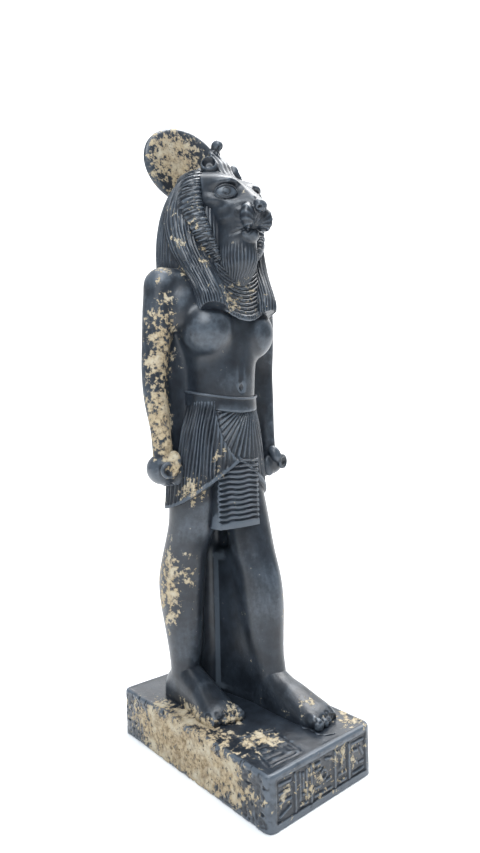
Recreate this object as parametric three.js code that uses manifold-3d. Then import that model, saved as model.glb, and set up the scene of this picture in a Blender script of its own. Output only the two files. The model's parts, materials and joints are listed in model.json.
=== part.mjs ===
// A striding lioness-headed figure with a sun disc, cast in one piece with its oblong base.
// Millimetres, +Z up. The figure faces -Y and its own left side is +X. The origin is the
// middle of the underside of the base.

import * as THREE from 'three';
import { mergeVertices } from 'three/addons/utils/BufferGeometryUtils.js';
import Module from 'manifold-3d';

// Driving dimensions
const BASE = { width: 71, length: 121.6, height: 25.2, cornerRadius: 4.4, edgeRound: 1.6 };
const SINK = 2; // how far a limb runs into the base, so that the two join
const PILLAR = { halfWidth: 12, front: 24, back: 40, top: 262 };
const DISC = { halfWidth: 28.2, halfHeight: 21.5, front: 34.2, back: 39.2, middle: 324.3 };
const TAB = { halfWidth: 13.7, front: -4.2, root: 12, bottom: 120.5, top: 158, pleats: 9 };
const KILT = { pleats: 28, pleatDepth: 0.9, top: 184, sideHem: 134 };
const WIG = { strands: 22, grooveDepth: 0.8 };

const wasm = await Module();
wasm.setup();

function solidFrom(vertices, triangles) {
  return new wasm.Manifold(
    new wasm.Mesh({ numProp: 3, vertProperties: vertices, triVerts: triangles }),
  );
}

// Turns a closed three.js geometry into a solid that can be joined and cut.
function solidOf(geometry) {
  geometry.deleteAttribute('normal');
  geometry.deleteAttribute('uv');
  const merged = mergeVertices(geometry, 1e-4);
  return solidFrom(
    new Float32Array(merged.attributes.position.array),
    new Uint32Array(merged.index.array),
  );
}

// The same solid on the other side of the body, with its faces turned to point out again.
function mirrored(solid) {
  const { vertProperties, triVerts } = solid.getMesh();
  for (let i = 0; i < vertProperties.length; i += 3) vertProperties[i] *= -1;
  for (let i = 0; i < triVerts.length; i += 3) {
    [triVerts[i], triVerts[i + 1]] = [triVerts[i + 1], triVerts[i]];
  }
  return solidFrom(vertProperties, triVerts);
}

const join = (solids) => solids.reduce((all, one) => all.add(one));
const pair = (left) => join([left, mirrored(left)]);

// The values of a list of stations at a fraction of the way along them, on a smooth curve.
function stationAt(stations, fraction) {
  const last = stations.length - 1;
  const place = Math.min(Math.max(fraction, 0), 1) * last;
  const step = Math.min(Math.floor(place), last - 1);
  const f = place - step;
  const value = {};
  for (const key of Object.keys(stations[0])) {
    const at = (i) => stations[Math.min(Math.max(i, 0), last)][key];
    const [a, b, c, d] = [at(step - 1), at(step), at(step + 1), at(step + 2)];
    value[key] =
      b + 0.5 * f * (c - a + f * (2 * a - 5 * b + 4 * c - d + f * (3 * (b - c) + d - a)));
  }
  return value;
}

// A closed bar whose skin is laid by a rule, place(fraction along, cosine, sine, reach). Reach is
// 0 in the middle of an end and 1 on the skin.
function bar(around, rows, place) {
  const geometry = new THREE.CylinderGeometry(1, 1, 1, around, rows);
  const position = geometry.attributes.position;
  for (let i = 0; i < position.count; i++) {
    const [x, y, z] = [position.getX(i), position.getY(i), position.getZ(i)];
    const reach = Math.hypot(x, z) < 0.5 ? 0 : 1;
    position.setXYZ(i, ...place(y + 0.5, reach * x, -reach * z, reach));
  }
  return solidOf(geometry);
}

// Squares a circle off: an exponent under 1 pushes the sides out towards the corners.
const bowed = (value, exponent) => Math.sign(value) * Math.abs(value) ** exponent;

// An upright bar through stations with a height z, a middle x, y and the half sizes rx and ry.
function limb(stations, around, rows, squareness = 1) {
  return bar(around, rows, (t, c, s) => {
    const at = stationAt(stations, t);
    return [at.x + at.rx * bowed(c, squareness), at.y + at.ry * bowed(s, squareness), at.z];
  });
}

// A ball squashed to three half sizes, tilted about X and then turned about Z.
function ball([x, y, z], [rx, ry, rz], { detail = [10, 7], tilt = 0, turn = 0 } = {}) {
  const geometry = new THREE.SphereGeometry(1, ...detail);
  geometry.rotateX(Math.PI / 2);
  geometry.scale(rx, ry, rz);
  geometry.rotateX(tilt);
  geometry.rotateZ(turn);
  geometry.translate(x, y, z);
  return solidOf(geometry);
}

function block([x0, y0, z0], [x1, y1, z1]) {
  const geometry = new THREE.BoxGeometry(x1 - x0, y1 - y0, z1 - z0);
  geometry.translate((x0 + x1) / 2, (y0 + y1) / 2, (z0 + z1) / 2);
  return solidOf(geometry);
}

// The oblong base, with round upright corners and softened edges
function base() {
  const { width, length, height, cornerRadius: r, edgeRound: e } = BASE;
  const [x, y] = [width / 2 - e, length / 2 - e];
  const outline = new THREE.Shape();
  outline.moveTo(-x + r, -y);
  outline.lineTo(x - r, -y);
  outline.absarc(x - r, -y + r, r, -Math.PI / 2, 0);
  outline.absarc(x - r, y - r, r, 0, Math.PI / 2);
  outline.absarc(-x + r, y - r, r, Math.PI / 2, Math.PI);
  outline.absarc(-x + r, -y + r, r, Math.PI, 1.5 * Math.PI);
  const geometry = new THREE.ExtrudeGeometry(outline, {
    depth: height - 2 * e,
    curveSegments: 4,
    bevelThickness: e,
    bevelSize: e,
    bevelSegments: 2,
  });
  geometry.translate(0, 0, e);
  return solidOf(geometry);
}

// The legs: the right one stands back against the pillar, the left one strides forward
const FLOOR = BASE.height - SINK;
const RIGHT_LEG = [
  { z: FLOOR, x: -15.3, y: 27.2, rx: 7.4, ry: 9.2 },
  { z: 38, x: -15.3, y: 27, rx: 7.4, ry: 8.6 },
  { z: 51, x: -15, y: 26.8, rx: 8.8, ry: 10 },
  { z: 65, x: -15, y: 27.8, rx: 10.2, ry: 12 },
  { z: 79, x: -15, y: 29, rx: 11.5, ry: 13.8 },
  { z: 92, x: -15.2, y: 28, rx: 12, ry: 14.4 },
  { z: 106, x: -15.1, y: 24.4, rx: 11.8, ry: 13.4 },
  { z: 122, x: -14.6, y: 18, rx: 12.4, ry: 14.2 },
  { z: 138, x: -14, y: 15.5, rx: 13.5, ry: 16 },
  { z: 154, x: -13, y: 15, rx: 13, ry: 16 },
];
const LEFT_LEG = [
  { z: FLOOR, x: 15.5, y: -6.5, rx: 8, ry: 9.4 },
  { z: 38, x: 15.8, y: -7.8, rx: 8.6, ry: 10.4 },
  { z: 51, x: 15.4, y: -6.5, rx: 9, ry: 10.2 },
  { z: 65, x: 15.4, y: -4.9, rx: 10.4, ry: 11.6 },
  { z: 79, x: 15.4, y: -3.6, rx: 11.4, ry: 13 },
  { z: 92, x: 15.4, y: -1.4, rx: 11.6, ry: 13.4 },
  { z: 106, x: 15.2, y: 1.6, rx: 11.9, ry: 13.5 },
  { z: 122, x: 15, y: 5, rx: 12.6, ry: 14.6 },
  { z: 138, x: 14, y: 9, rx: 13.5, ry: 16 },
  { z: 154, x: 13, y: 12, rx: 13, ry: 16 },
];

// A left foot lies along Y: its sole is in the base and its top slopes from the ankle to the toes
function foot(ankleY) {
  const stations = [
    { y: ankleY + 11.4, x: 15, halfWidth: 3.5, top: 7 },
    { y: ankleY + 9, x: 15, halfWidth: 6.6, top: 12 },
    { y: ankleY - 2, x: 15, halfWidth: 7.6, top: 22 },
    { y: ankleY - 12, x: 15.4, halfWidth: 7.4, top: 17 },
    { y: ankleY - 23, x: 16.6, halfWidth: 8.6, top: 11.5 },
    { y: ankleY - 33, x: 17.4, halfWidth: 9.4, top: 7.4 },
    { y: ankleY - 38, x: 17.7, halfWidth: 8.8, top: 5 },
  ];
  const instep = bar(10, 7, (t, c, s) => {
    const at = stationAt(stations, t);
    const height = s > 0 ? at.top * s : -SINK * Math.sqrt(-s);
    return [at.x + at.halfWidth * bowed(c, 0.8), at.y, BASE.height + height];
  });
  const toes = [0, 1, 2, 3, 4].map((i) => {
    const width = i === 0 ? 2.9 : 2.2 - 0.12 * i;
    const x = i === 0 ? 10.6 : 11.9 + 3.5 * i;
    const tip = ankleY - 43.4 + 0.35 * i * i + 0.2 * i;
    const length = 7;
    const middle = [x, tip + length, BASE.height + 0.75 * width];
    return ball(middle, [width, length, 1.15 * width], { detail: [6, 4] });
  });
  return join([instep, ...toes]);
}

// The stone left standing: the pillar up the back, and webs between the legs and behind the arms
function pillarAndWebs() {
  const { halfWidth, front, back, top } = PILLAR;
  const pillar = block([-halfWidth, front, FLOOR], [halfWidth, back, top]);
  const legWeb = block([2.2, -4, FLOOR], [12, front + 3, 105.5]);
  const webOverKnee = block([6.5, 2, 100], [11, front + 3, 150]);
  const armWeb = block([16, 18, 148], [35.5, 23, 240]);
  return join([pillar, legWeb, webOverKnee, pair(armWeb)]);
}

const TORSO = [
  { z: 146, x: 0, y: 15.5, rx: 26, ry: 18 },
  { z: 165, x: 0, y: 14, rx: 25.5, ry: 18.5 },
  { z: 181, x: 0, y: 12.5, rx: 24, ry: 18.2 },
  { z: 196, x: 0, y: 11, rx: 22, ry: 19.2 },
  { z: 209, x: 0, y: 10.8, rx: 22.4, ry: 19.6 },
  { z: 222, x: 0, y: 11, rx: 25.5, ry: 20.5 },
  { z: 235, x: 0, y: 12, rx: 28.5, ry: 20.5 },
  { z: 246, x: 0, y: 13.5, rx: 29, ry: 17.5 },
  { z: 254, x: 0, y: 14.5, rx: 24, ry: 13 },
  { z: 259, x: 0, y: 15, rx: 16, ry: 10 },
];

const LEFT_ARM = [
  { z: 156, x: 36.2, y: 12, rx: 5.4, ry: 6.4 },
  { z: 172, x: 36.6, y: 13.2, rx: 5.4, ry: 5.7 },
  { z: 188, x: 37.8, y: 15.8, rx: 6.1, ry: 6.6 },
  { z: 204, x: 38, y: 17, rx: 6.3, ry: 6.9 },
  { z: 220, x: 36.6, y: 15.6, rx: 7.2, ry: 7.8 },
  { z: 236, x: 35.4, y: 15.4, rx: 7.4, ry: 8 },
  { z: 250, x: 33.5, y: 14.5, rx: 6, ry: 7 },
];

// A closed hand about the stub of a round rod that lies along Y
function hand() {
  const middle = [36.8, 12, 153];
  const rod = new THREE.CylinderGeometry(3.9, 3.9, 21, 14);
  rod.translate(...middle);
  return join([ball(middle, [7.9, 10.4, 8.4], { detail: [10, 8] }), solidOf(rod)]);
}

function body() {
  return join([
    limb(TORSO, 18, 9, 0.88),
    pair(ball([15, -1.6, 223.5], [11.5, 10, 12], { detail: [12, 7] })),
    pair(ball([32.6, 15, 246], [10, 10, 10.5])),
    pair(limb(LEFT_ARM, 10, 8)),
    pair(hand()),
    limb(RIGHT_LEG, 12, 11),
    limb(LEFT_LEG, 12, 11),
    mirrored(foot(27.5)),
    foot(-7),
  ]);
}

// The kilt: upright pleats, and a hem that climbs to the middle of the front
function hemHeight(c, s) {
  const front = Math.max(0, -s);
  const peak = Math.max(0, 1 - 2 * Math.abs(c));
  return s < 0 ? KILT.sideHem + 10 * front ** 0.8 + 11 * peak : KILT.sideHem - 8.5 * s;
}

function kilt() {
  const stations = [
    { halfWidth: 30, front: -4.5, back: 37 },
    { halfWidth: 28.6, front: -5.5, back: 36 },
    { halfWidth: 26.8, front: -6.4, back: 34.5 },
    { halfWidth: 24.6, front: -6.4, back: 32 },
  ];
  return bar(2 * KILT.pleats, 3, (t, c, s, reach) => {
    const at = stationAt(stations, t);
    const groove = Math.round((Math.atan2(s, c) * KILT.pleats) / Math.PI) % 2 ? KILT.pleatDepth : 0;
    const bottom = reach ? hemHeight(c, s) : KILT.sideHem + 8;
    return [
      (at.halfWidth - groove) * bowed(c, 0.8),
      (at.front + at.back) / 2 + ((at.back - at.front) / 2 - groove) * bowed(s, 0.8),
      bottom + t * (KILT.top - bottom),
    ];
  });
}

// The plain belt over the top of the kilt, a little lower in front
function belt() {
  return bar(28, 1, (t, c, s) => [
    25.6 * bowed(c, 0.85),
    12.4 + 20 * bowed(s, 0.85),
    (t < 0.5 ? 181 : 189.4) + 2.2 * (1 + s),
  ]);
}

// The stiff tab under the front of the hem, with level pleats
function tab() {
  const { halfWidth, front, root, bottom, top, pleats } = TAB;
  const step = (top - bottom) / pleats;
  const grooveDepth = 1.1;
  const side = new THREE.Shape();
  side.moveTo(root, top);
  side.lineTo(root, bottom);
  for (let i = 0; i < pleats; i++) {
    const z = bottom + i * step;
    side.lineTo(front, z);
    side.lineTo(front, z + 0.7 * step);
    side.lineTo(front + grooveDepth, z + 0.8 * step);
    side.lineTo(front + grooveDepth, z + 0.98 * step);
  }
  side.lineTo(front + grooveDepth, top);
  const geometry = new THREE.ExtrudeGeometry(side, { depth: 2 * halfWidth, bevelEnabled: false });
  // The side is drawn with Y across and Z up, and pushed out along X.
  const axes = [new THREE.Vector3(0, 1, 0), new THREE.Vector3(0, 0, 1), new THREE.Vector3(1, 0, 0)];
  geometry.applyMatrix4(new THREE.Matrix4().makeBasis(...axes));
  geometry.translate(-halfWidth, 0, 0);
  return solidOf(geometry);
}

// The wig: a dome over the head that hangs down behind the shoulders
const WIG_DOME = [
  { z: 238, x: 0, y: 19, rx: 24, ry: 22 },
  { z: 252, x: 0, y: 18, rx: 28.5, ry: 25.5 },
  { z: 266, x: 0, y: 18, rx: 29.6, ry: 26.4 },
  { z: 280, x: 0, y: 17.5, rx: 28.8, ry: 26 },
  { z: 292, x: 0, y: 17, rx: 26, ry: 24 },
  { z: 302, x: 0, y: 17, rx: 21, ry: 20.5 },
  { z: 310, x: 0, y: 16, rx: 14, ry: 14.5 },
  { z: 316, x: 0, y: 15, rx: 5, ry: 5 },
];

function wig() {
  return bar(2 * WIG.strands, 6, (t, c, s) => {
    const at = stationAt(WIG_DOME, t);
    const between = Math.round((Math.atan2(s, c) * WIG.strands) / Math.PI) % 2 !== 0;
    const groove = between ? 1 - WIG.grooveDepth / 30 : 1;
    return [at.rx * c * groove, at.y + at.ry * s * groove, at.z];
  });
}

// One lappet of the wig, from the shoulder to its flat cut end on the breast
function lappet() {
  const stations = [
    { z: 229.5, x: 17.4, y: -7, rx: 6.8, ry: 4.6 },
    { z: 238, x: 17.6, y: -9, rx: 7.4, ry: 7.6 },
    { z: 248, x: 17.6, y: -2.6, rx: 7.6, ry: 7.2 },
    { z: 258, x: 18, y: 4.6, rx: 7.8, ry: 7 },
    { z: 268, x: 19, y: 10, rx: 8, ry: 7.4 },
    { z: 279, x: 19.6, y: 12.5, rx: 7.5, ry: 7 },
  ];
  return bar(12, 5, (t, c, s) => {
    const at = stationAt(stations, t);
    const groove = Math.round((Math.atan2(s, c) * 6) / Math.PI) % 2 ? 0.93 : 1;
    return [at.x + at.rx * bowed(c, 0.75) * groove, at.y + at.ry * bowed(s, 0.75) * groove, at.z];
  });
}

// The collar between the lappets, in level rows that step down to the chest
function collar() {
  const rows = [0, 1, 2, 3, 4].map((i) => {
    const z = 229 + 4.2 * i;
    return block([-13, -13.8 + 0.75 * i, z], [13, 2, z + 3.4]);
  });
  return join([...rows, block([-12, -10, 229.5], [12, 2, 252])]);
}

// The head: a lioness with a heavy muzzle, a bearded throat and round ears
function head() {
  return join([
    ball([0, 3, 291.5], [17.5, 17, 18.2], { detail: [12, 8] }),
    pair(ball([8.8, -7.6, 300.6], [6.4, 5, 3.4], { turn: 0.5 })),
    pair(ball([10.8, -9.8, 293], [5.8, 4.4, 3.6], { turn: 0.7 })),
    ball([0, -14, 293], [6, 15.5, 6.2], { tilt: 0.72 }),
    pair(ball([5.5, -21.8, 278.6], [5.9, 7, 7])),
    ball([0, -26, 283.6], [5, 4.4, 3.6]),
    ball([0, -16, 270.8], [7.2, 7.6, 5.6]),
    ball([0, -6, 278], [14.5, 14.5, 12.5], { detail: [12, 8] }),
    ball([0, -6.5, 262], [12.5, 14.8, 13], { detail: [12, 8] }),
    pair(ball([11.4, -0.4, 306], [4.6, 3.6, 5], { detail: [8, 6], turn: 0.6 })),
  ]);
}

// One side of the ruff about the face, a band with short tufts across it
function ruff() {
  const stations = [
    { x: 10, y: -5, z: 257.5, half: 4.5, thick: 2.4 },
    { x: 14, y: -3.2, z: 263.5, half: 7, thick: 3.2 },
    { x: 17.8, y: -1.8, z: 272, half: 8.6, thick: 3.8 },
    { x: 20.6, y: 0.6, z: 281.4, half: 9, thick: 4 },
    { x: 21.4, y: 3, z: 291.5, half: 8, thick: 4 },
    { x: 19, y: 4.4, z: 300.5, half: 7, thick: 4 },
    { x: 14, y: 6.8, z: 307.5, half: 5.6, thick: 3.6 },
  ];
  const across = new THREE.Vector3(0.5, 0.85, -0.1).normalize();
  const outward = new THREE.Vector3(-0.85, 0.5, 0).normalize();
  return bar(6, 20, (t, c, s) => {
    const at = stationAt(stations, t);
    const tuft = Math.round(t * 20) % 2 ? 0.86 : 1;
    const spot = new THREE.Vector3(at.x, at.y, at.z);
    spot.addScaledVector(across, at.half * c * tuft);
    spot.addScaledVector(outward, at.thick * s * tuft);
    return spot.toArray();
  });
}

// The sun disc on the back of the crown, and the rearing cobra in front of it
function crown() {
  const { halfWidth, halfHeight, front, back, middle } = DISC;
  const disc = new THREE.CylinderGeometry(1, 1, 1, 32);
  disc.scale(halfWidth, back - front, halfHeight);
  disc.translate(0, (front + back) / 2, middle);
  return join([
    solidOf(disc),
    ball([0, 27, 308], [11, 12, 9]),
    ball([0, 7.2, 325.2], [3.4, 5.8, 3.8], { detail: [8, 6] }),
    ball([0, -0.2, 311.8], [6, 3.6, 13.4], { tilt: -0.78 }),
  ]);
}

const whole = join([
  base(),
  pillarAndWebs(),
  body(),
  kilt(),
  belt(),
  tab(),
  wig(),
  pair(lappet()),
  collar(),
  head(),
  pair(ruff()),
  crown(),
]);

const { vertProperties, triVerts } = whole.getMesh();
const skin = new THREE.BufferGeometry();
skin.setAttribute('position', new THREE.BufferAttribute(vertProperties, 3));
skin.setIndex(new THREE.BufferAttribute(triVerts, 1));
skin.computeVertexNormals();

const blackStone = new THREE.MeshStandardMaterial({ color: 0x262b31, roughness: 0.45, metalness: 0 });
const statue = new THREE.Mesh(skin, blackStone);
statue.name = 'statue';

const object = new THREE.Group();
object.add(statue);

export default object;
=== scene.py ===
import json
from collections import Counter
from math import cos, pi, radians, sin

import bpy
import numpy as np
from mathutils import Matrix, Vector, noise

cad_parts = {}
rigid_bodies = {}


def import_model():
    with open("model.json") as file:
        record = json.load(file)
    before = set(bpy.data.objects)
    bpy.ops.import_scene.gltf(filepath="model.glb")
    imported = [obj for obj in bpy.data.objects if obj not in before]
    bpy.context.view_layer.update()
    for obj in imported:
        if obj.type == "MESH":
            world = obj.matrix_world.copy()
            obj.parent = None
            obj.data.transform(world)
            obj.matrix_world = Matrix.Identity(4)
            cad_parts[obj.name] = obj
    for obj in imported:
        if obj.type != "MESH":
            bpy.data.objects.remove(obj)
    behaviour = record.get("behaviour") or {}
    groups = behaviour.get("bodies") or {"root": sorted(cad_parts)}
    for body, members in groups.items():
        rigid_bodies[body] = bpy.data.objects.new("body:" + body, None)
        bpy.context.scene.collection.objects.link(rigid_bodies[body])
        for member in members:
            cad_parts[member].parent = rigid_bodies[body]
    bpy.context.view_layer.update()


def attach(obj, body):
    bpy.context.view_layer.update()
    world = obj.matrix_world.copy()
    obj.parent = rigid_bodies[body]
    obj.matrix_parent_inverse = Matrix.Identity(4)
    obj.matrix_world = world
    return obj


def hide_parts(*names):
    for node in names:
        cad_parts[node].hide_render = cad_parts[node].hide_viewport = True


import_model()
MM = 0.001


# The camera stands at the statue's right front, at belt height, as the photographer did.
CAMERA_PLACE = (-0.20619, -0.24646, 0.17462)
CAMERA_YAW, CAMERA_PITCH, CAMERA_ROLL = radians(-40.672), radians(0.157), radians(-1.295)
FOCAL_PIXELS, FRAME_PIXELS, SENSOR_MM = 600, 853, 36
forward = Vector((
    -sin(CAMERA_YAW) * cos(CAMERA_PITCH),
    cos(CAMERA_YAW) * cos(CAMERA_PITCH),
    -sin(CAMERA_PITCH),
))
level_right = Vector((cos(CAMERA_YAW), sin(CAMERA_YAW), 0))
level_up = level_right.cross(forward)
right = cos(CAMERA_ROLL) * level_right + sin(CAMERA_ROLL) * level_up
up = right.cross(forward)
bpy.ops.object.camera_add()
camera = bpy.context.object
camera.matrix_world = Matrix.Translation(CAMERA_PLACE) @ Matrix((right, up, -forward)).transposed().to_4x4()
camera.data.sensor_width = SENSOR_MM
camera.data.lens = FOCAL_PIXELS / FRAME_PIXELS * SENSOR_MM
camera.data.clip_start = 0.01
bpy.context.scene.camera = camera


# The studio: one pale sweep of card under and behind the statue, a large soft window of light from
# the statue's right, a weaker one from its left and an even pale surround.
def deselect_all():
    bpy.ops.object.select_all(action="DESELECT")


def plain_material(name, colour, roughness):
    material = bpy.data.materials.new(name)
    material.use_nodes = True
    shader = material.node_tree.nodes["Principled BSDF"]
    shader.inputs["Base Color"].default_value = (*colour, 1)
    shader.inputs["Roughness"].default_value = roughness
    return material


SWEEP_NEAR, SWEEP_FAR, SWEEP_BEND, SWEEP_TOP, SWEEP_HALF = -2.5, 1.6, 0.9, 4.0, 5.0
profile = [(SWEEP_NEAR, 0.0), (SWEEP_FAR, 0.0)]
profile += [(SWEEP_FAR + SWEEP_BEND * sin(a), SWEEP_BEND * (1 - cos(a))) for a in np.linspace(0.1, pi / 2, 16)]
profile.append((SWEEP_FAR + SWEEP_BEND, SWEEP_TOP))
corners, strips = [], []
for away, height in profile:
    for aside in (-SWEEP_HALF, SWEEP_HALF):
        corners.append(Vector((forward.x, forward.y, 0)) * away + level_right * aside + Vector((0, 0, height)))
for i in range(len(profile) - 1):
    strips.append((2 * i, 2 * i + 1, 2 * i + 3, 2 * i + 2))
sweep_mesh = bpy.data.meshes.new("pale_sweep")
sweep_mesh.from_pydata(corners, [], strips)
sweep = bpy.data.objects.new("pale_sweep", sweep_mesh)
bpy.context.collection.objects.link(sweep)
deselect_all()
sweep.select_set(True)
bpy.context.view_layer.objects.active = sweep
bpy.ops.object.shade_smooth()
sweep.data.materials.append(plain_material("pale card", (0.9, 0.9, 0.9), 0.9))

world = bpy.data.worlds.new("pale surround")
world.use_nodes = True
world_nodes, world_links = world.node_tree.nodes, world.node_tree.links
lit_by = world_nodes["Background"]
lit_by.inputs["Color"].default_value = (0.86, 0.93, 1.0, 1)
lit_by.inputs["Strength"].default_value = 0.42
bpy.context.scene.world = world


def soft_window(name, place, target, size, power, colour):
    bpy.ops.object.light_add(type="AREA", location=place)
    lamp = bpy.context.object
    lamp.name = name
    lamp.rotation_euler = (Vector(target) - Vector(place)).to_track_quat("-Z", "Y").to_euler()
    lamp.data.shape = "RECTANGLE"
    lamp.data.size, lamp.data.size_y = size
    lamp.data.energy = power
    lamp.data.color = colour


soft_window("right_window", (-0.62, -0.42, 0.95), (0, 0, 0.2), (0.6, 0.8), 12, (0.90, 0.95, 1.0))
soft_window("top_window", (0.05, 0.1, 1.25), (0, 0, 0.2), (0.9, 0.9), 6, (0.95, 0.97, 1.0))
soft_window("card_window", (1.2, 0.2, 2.4), (1.5, 1.7, 0.6), (2.5, 1.6), 130, (1.0, 1.0, 1.0))
bpy.context.scene.view_settings.view_transform = "Standard"


# The body, arms and legs: smooth rounded stone, with the weight on the straight right leg and the
# left leg a step forward. Each limb is blocked out round a few level stations, then the blocks are
# melted into one skin and rubbed smooth.
def through(stations, t):
    """Values at the fractions t along rows of numbers, on a smooth curve through every row."""
    rows = np.asarray(stations, float)
    last = len(rows) - 1
    place = np.clip(t, 0, 1) * last
    step = np.minimum(place.astype(int), last - 1)
    f = (place - step)[..., None]
    a, b = rows[np.maximum(step - 1, 0)], rows[step]
    c, d = rows[step + 1], rows[np.minimum(step + 2, last)]
    return b + 0.5 * f * (c - a + f * (2 * a - 5 * b + 4 * c - d + f * (3 * (b - c) + d - a)))


def to_mesh(name, points, faces):
    """An object from points in millimetres and faces."""
    mesh = bpy.data.meshes.new(name)
    mesh.from_pydata([tuple(p) for p in np.asarray(points) * MM], [], faces)
    made = bpy.data.objects.new(name, mesh)
    bpy.context.collection.objects.link(made)
    return made


def lay(name, around, rows, rule, spread=None):
    """A closed bar: rule(t, angle) gives the skin's points, t running from end to end."""
    t = np.linspace(0, 1, rows + 1) if spread is None else spread
    T, A = np.meshgrid(t, np.arange(around) / around * 2 * pi, indexing="ij")
    skin = rule(T, A)
    points = np.concatenate([skin.reshape(-1, 3), [skin[0].mean(0)], [skin[-1].mean(0)]])
    faces = []
    for i in range(rows):
        for j in range(around):
            k = (j + 1) % around
            faces.append((i * around + j, i * around + k, (i + 1) * around + k, (i + 1) * around + j))
    foot, head = (rows + 1) * around, (rows + 1) * around + 1
    for j in range(around):
        k = (j + 1) % around
        faces.append((foot, k, j))
        faces.append((head, rows * around + j, rows * around + k))
    return to_mesh(name, points, faces)


def squared(value, power):
    return np.sign(value) * np.abs(value) ** power


def limb(name, stations, around, rows, squareness=1.0, ridge=0.0):
    """An upright bar through stations of height, middle x, middle y, half width and half depth."""
    def rule(T, A):
        z, x, y, rx, ry = np.moveaxis(through(stations, T), -1, 0)
        front = 1 + ridge * np.clip(-np.sin(A), 0, 1) ** 6
        return np.stack([
            x + rx * squared(np.cos(A), squareness),
            y + ry * squared(np.sin(A), squareness) * front,
            z,
        ], -1)
    return lay(name, around, rows, rule)


def ball(name, middle, radii, tilt=0.0, turn=0.0, segments=32):
    """A ball squashed to three half sizes, tilted about X and then turned about Z."""
    deselect_all()
    bpy.ops.mesh.primitive_uv_sphere_add(segments=segments, ring_count=segments // 2, radius=MM)
    made = bpy.context.object
    made.name = name
    place = Matrix.Translation([v * MM for v in middle])
    turned = Matrix.Rotation(turn, 4, "Z") @ Matrix.Rotation(tilt, 4, "X")
    made.data.transform(place @ turned @ Matrix.Diagonal((*radii, 1)))
    return made


def box(name, low, high):
    deselect_all()
    middle = [(a + b) / 2 * MM for a, b in zip(low, high)]
    bpy.ops.mesh.primitive_cube_add(size=1, location=middle)
    made = bpy.context.object
    made.name = name
    made.scale = [(b - a) * MM for a, b in zip(low, high)]
    bpy.ops.object.transform_apply(location=True, rotation=True, scale=True)
    return made


def other_side(left):
    """The same piece mirrored on to the statue's right."""
    made = left.copy()
    made.data = left.data.copy()
    bpy.context.collection.objects.link(made)
    made.data.transform(Matrix.Diagonal((-1, 1, 1, 1)))
    made.data.flip_normals()
    return made


def both(left):
    return [left, other_side(left)]


def joined(name, pieces):
    deselect_all()
    for piece in pieces:
        piece.select_set(True)
    bpy.context.view_layer.objects.active = pieces[0]
    bpy.ops.object.join()
    pieces[0].name = name
    return pieces[0]


def finish_modifier(piece, kind, **settings):
    deselect_all()
    piece.select_set(True)
    bpy.context.view_layer.objects.active = piece
    modifier = piece.modifiers.new(kind, kind)
    for key, value in settings.items():
        setattr(modifier, key, value)
    bpy.ops.object.modifier_apply(modifier=modifier.name)


def melted(name, pieces, voxel, rubs):
    """Overlapping pieces melted into one closed skin and rubbed smooth."""
    whole = joined(name, pieces)
    finish_modifier(whole, "REMESH", mode="VOXEL", voxel_size=voxel * MM)
    if rubs:
        finish_modifier(whole, "SMOOTH", factor=0.5, iterations=rubs)
    return whole


def sculpt(piece, rule):
    """Moves the piece's points: rule(points, normals) gives the new points, in millimetres."""
    count = len(piece.data.vertices)
    points, normals = np.empty(count * 3), np.empty(count * 3)
    piece.data.vertices.foreach_get("co", points)
    piece.data.vertices.foreach_get("normal", normals)
    moved = rule(points.reshape(-1, 3) / MM, normals.reshape(-1, 3))
    piece.data.vertices.foreach_set("co", (np.asarray(moved) * MM).ravel())
    piece.data.update()


def hill(points, middle, radii):
    """1 at a middle, falling softly to 0 at the radii."""
    reach = np.linalg.norm((points - np.asarray(middle)) / np.asarray(radii), axis=1)
    return np.clip(1 - reach ** 2, 0, 1) ** 2


BASE_TOP, SINK = 25.2, 2.0
FLOOR = BASE_TOP - SINK
RIGHT_LEG = [
    (FLOOR, -15.3, 27.2, 7.4, 9.2),
    (38, -15.3, 27, 7.4, 8.6),
    (51, -15, 26.8, 8.8, 10),
    (65, -15, 27.8, 10.2, 12),
    (79, -15, 29, 11.5, 13.8),
    (92, -15.2, 28, 12, 14.4),
    (106, -15.1, 24.4, 11.8, 13.4),
    (122, -14.6, 18, 12.4, 14.2),
    (138, -14, 16, 13.2, 15),
    (154, -13, 15.5, 12, 13),
]
LEFT_LEG = [
    (FLOOR, 15.5, -6.5, 8, 9.4),
    (38, 15.8, -7.8, 8.6, 10.4),
    (51, 15.4, -6.5, 9, 10.2),
    (65, 15.4, -4.9, 10.4, 11.6),
    (79, 15.4, -3.6, 11.4, 13),
    (92, 15.4, -1.4, 11.6, 13.4),
    (106, 15.4, 3.2, 12.6, 12.4),
    (122, 15.6, 7.8, 13.6, 12),
    (138, 14.6, 11.6, 13.6, 13),
    (154, 13, 14, 12, 13),
]
TORSO = [
    (146, 0, 15.5, 24, 15),
    (165, 0, 14, 23, 17),
    (181, 0, 12, 20.8, 18),
    (196, 0, 10.8, 19.6, 19.2),
    (209, 0, 10.8, 21, 19.4),
    (222, 0, 11, 25.2, 20),
    (235, 0, 12, 28.5, 20.5),
    (246, 0, 13.5, 29, 18),
    (254, 0, 14.5, 24, 13),
    (259, 0, 15, 16, 10),
]
LEFT_ARM = [
    (156, 36.2, 12, 5.2, 6.2),
    (172, 36.8, 13.2, 5.3, 5.7),
    (188, 37.8, 15.6, 6.1, 6.6),
    (204, 37.8, 16.6, 6.5, 7.1),
    (220, 36.4, 15.6, 7.6, 8.2),
    (236, 34.8, 15, 8.6, 9.2),
    (247, 33, 14.8, 9, 9),
    (254, 31, 15, 6.5, 6.5),
]


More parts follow.
